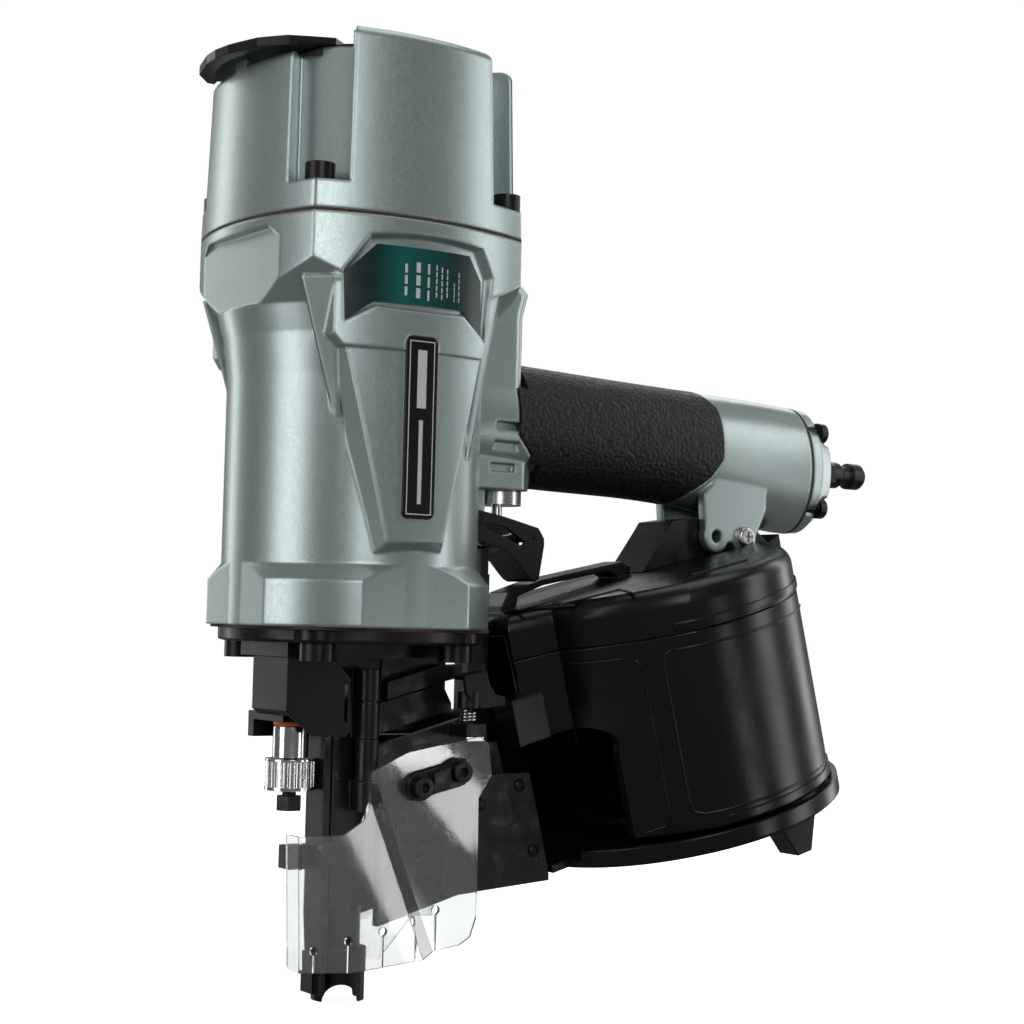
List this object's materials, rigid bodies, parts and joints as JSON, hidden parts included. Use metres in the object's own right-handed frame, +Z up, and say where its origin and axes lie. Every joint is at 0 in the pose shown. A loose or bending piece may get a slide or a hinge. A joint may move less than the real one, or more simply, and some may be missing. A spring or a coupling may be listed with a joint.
{
  "type": "pneumatic nail gun",
  "caption": "Coil-fed pneumatic framing nailer: barrel with side handle, tilted canister magazine, nose with clear shield, trigger and depth wheel.",
  "frame": {"origin": "on the drive axis, at the bottom of the contact tip at rest", "axes": "+Z up the drive axis, +X towards the handle and magazine, -Y the operator's left"},
  "size_m": [0.3088, 0.132, 0.3317],
  "materials": {
    "paint_silver": "satin metallic paint",
    "gasket": "matt fibre gasket",
    "black_steel": "black oxide",
    "steel": "bright turned steel",
    "chrome": "chrome plated",
    "black_plastic": "satin black plastic",
    "rubber_grip": "textured rubber",
    "clear_shield": "clear polycarbonate",
    "label": "printed teal label",
    "name_black": "black plate",
    "aluminium": "machined aluminium",
    "rubber_soft": "polyurethane bumper"
  },
  "bodies": {
    "body": {"housing": "paint_silver", "side_label": "label", "name_plate": "name_black", "grip_sleeve": "rubber_grip", "cylinder_cap": "paint_silver", "cap_gasket": "gasket", "cap_screws": "black_steel", "deflector_screw": "black_steel", "head_valve_spring": "steel", "cylinder": "aluminium", "bumper": "rubber_soft", "nose_flange": "black_steel", "flange_gasket": "gasket", "flange_bolts": "black_steel", "drive_guide": "black_steel", "door_hinge_pin": "black_steel", "end_cap": "paint_silver", "end_cap_gasket": "gasket", "end_cap_bolts": "black_steel", "air_plug": "black_steel", "trigger_pin": "black_steel", "trigger_spring": "steel", "valve_bushing": "steel", "depth_cover": "black_plastic", "feed_cylinder": "black_steel", "feed_cap": "black_steel", "right_shield": "clear_shield", "upper_guide": "black_steel", "magazine_base": "black_plastic", "magazine_shell": "black_plastic", "magazine_lid": "black_plastic", "magazine_hinge_pin": "steel", "magazine_bracket": "black_steel", "bracket_screw": "steel", "feed_rail": "black_steel"},
    "exhaust_deflector": {"exhaust_deflector": "black_plastic"},
    "head_valve": {"head_valve": "aluminium"},
    "piston": {"piston": "aluminium", "piston_ring": "rubber_soft", "driver_blade": "steel"},
    "trigger": {"trigger": "black_plastic", "trigger_arm_pin": "black_steel"},
    "trigger_arm": {"trigger_arm": "steel"},
    "valve_plunger": {"valve_plunger": "steel"},
    "push_lever": {"push_lever": "black_steel", "adjuster_sleeve": "chrome"},
    "depth_knob": {"depth_knob": "chrome"},
    "contact_arm": {"contact_arm": "black_steel", "adjuster_rod": "black_steel"},
    "feed_piston": {"feed_piston": "steel"},
    "feed_pawl": {"feed_pawl": "steel"},
    "guide_door": {"guide_door": "black_steel", "shield": "clear_shield", "shield_clip": "black_steel", "shield_screws": "black_steel", "latch_pin": "black_steel", "latch_spring": "steel"},
    "door_latch": {"door_latch": "black_plastic"},
    "magazine_cover": {"magazine_cover": "black_plastic"},
    "coil_support": {"coil_support": "black_plastic"}
  },
  "joints": [
    {"name": "deflector_turn", "type": "hinge", "parent": "body", "child": "exhaust_deflector", "pos_m": [0, 0, 0.3277], "axis": [0, 0, 1], "range_deg": [-6, 6]},
    {"name": "head_valve_lift", "type": "slide", "parent": "body", "child": "head_valve", "axis": [0, 0, 1], "range_m": [0, 0.005], "stiffness_N_per_m": 3000, "springref_m": -0.004},
    {"name": "piston_stroke", "type": "slide", "parent": "body", "child": "piston", "axis": [0, 0, -1], "range_m": [0, 0.085]},
    {"name": "trigger_pull", "type": "hinge", "parent": "body", "child": "trigger", "pos_m": [0.05, 0, 0.1695], "axis": [0, -1, 0], "range_deg": [0, 10], "stiffness_Nm_per_rad": 0.6, "springref_deg": -14.32},
    {"name": "plunger_lift", "type": "slide", "parent": "body", "child": "valve_plunger", "axis": [0, 0, 1], "range_m": [0, 0.002]},
    {"name": "push_lift", "type": "slide", "parent": "body", "child": "push_lever", "axis": [0, 0, 1], "range_m": [0, 0.01], "stiffness_N_per_m": 900, "springref_m": -0.008},
    {"name": "trigger_arm_lift", "type": "hinge", "parent": "trigger", "child": "trigger_arm", "pos_m": [0.0744, 0, 0.1646], "axis": [0, 1, 0], "range_deg": [0, 28]},
    {"name": "knob_turn", "type": "hinge", "parent": "push_lever", "child": "depth_knob", "pos_m": [-0.0215, 0, 0.078], "axis": [0, 0, 1], "range_deg": [-1080, 720]},
    {"name": "depth_adjust", "type": "slide", "parent": "push_lever", "child": "contact_arm", "axis": [0, 0, 1], "range_m": [-0.003, 0.002]},
    {"name": "feed_stroke", "type": "slide", "parent": "body", "child": "feed_piston", "axis": [1, 0, 0], "range_m": [0, 0.0085], "stiffness_N_per_m": 1200, "springref_m": -0.006},
    {"name": "pawl_swing", "type": "hinge", "parent": "feed_piston", "child": "feed_pawl", "pos_m": [0.004, 0.0146, 0.07], "axis": [0, 0, 1], "range_deg": [0, 15], "stiffness_Nm_per_rad": 0.02, "springref_deg": -17.19},
    {"name": "door_open", "type": "hinge", "parent": "body", "child": "guide_door", "pos_m": [0.001, -0.014, 0.09], "axis": [0, 0, -1], "range_deg": [0, 50]},
    {"name": "latch_turn", "type": "hinge", "parent": "guide_door", "child": "door_latch", "pos_m": [0.0365, -0.0235, 0.105], "axis": [0, 0, -1], "range_deg": [0, 25], "stiffness_Nm_per_rad": 0.15, "springref_deg": -22.92},
    {"name": "cover_open", "type": "hinge", "parent": "body", "child": "magazine_cover", "pos_m": [0.19972, -0.019, 0.11814], "axis": [-0.2588, 0, 0.9659], "range_deg": [0, 85]},
    {"name": "support_slide", "type": "slide", "parent": "body", "child": "coil_support", "axis": [-0.2588, 0, 0.9659], "range_m": [0, 0.03]}
  ],
  "couplings": [
    {"joint": "trigger_arm_lift", "follows": "push_lift", "rad_per_m": 48.869},
    {"joint": "plunger_lift", "follows": "trigger_pull", "m_per_rad": 0.011458},
    {"joint": "knob_turn", "follows": "depth_adjust", "rad_per_m": 6283.2}
  ]
}
